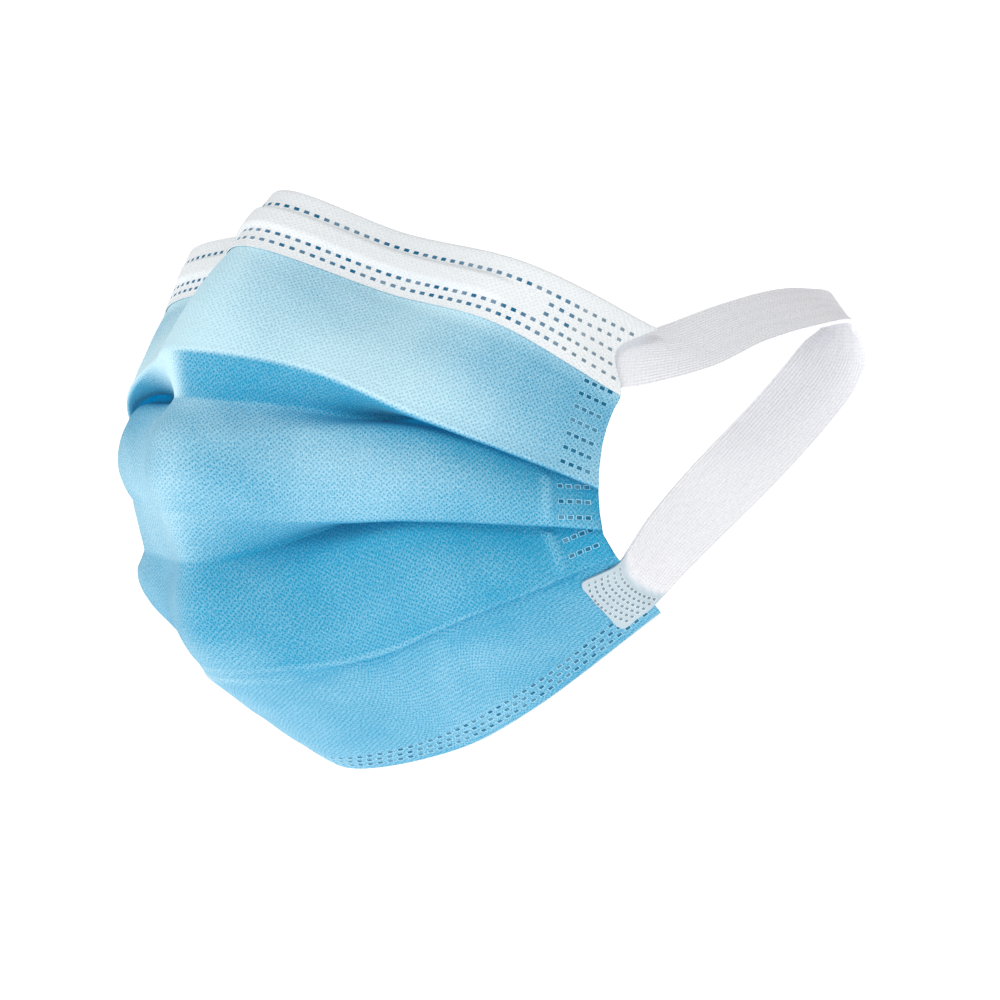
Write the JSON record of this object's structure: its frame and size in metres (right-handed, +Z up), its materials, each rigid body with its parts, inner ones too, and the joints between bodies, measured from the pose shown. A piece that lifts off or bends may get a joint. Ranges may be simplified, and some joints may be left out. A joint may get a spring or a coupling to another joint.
{
  "type": "surgical face mask",
  "caption": "Disposable pleated face mask in its worn shape: blue outer panel, white lining and bound top edge over a nose wire, with flat elastic ear loops.",
  "frame": {"origin": "just behind the middle of the top edge, where the mask sits on the bridge of the nose", "axes": "+Z up, -Y the way the wearer faces, +X towards the wearer's left"},
  "size_m": [0.1508, 0.1324, 0.1188],
  "materials": {
    "spunbond_blue": "matte spunbond with a fine embossed dot grid",
    "spunbond_white": "matte spunbond",
    "knitted_elastic": "soft knitted elastic with fine lengthwise ribs",
    "wire_coating": "plastic-coated wire"
  },
  "bodies": {
    "root": {"outer_panel": "spunbond_blue", "inner_lining": "spunbond_white", "top_binding": "spunbond_white", "nose_wire": "wire_coating", "ear_loop_left": "knitted_elastic", "ear_loop_right": "knitted_elastic"}
  },
  "joints": []
}
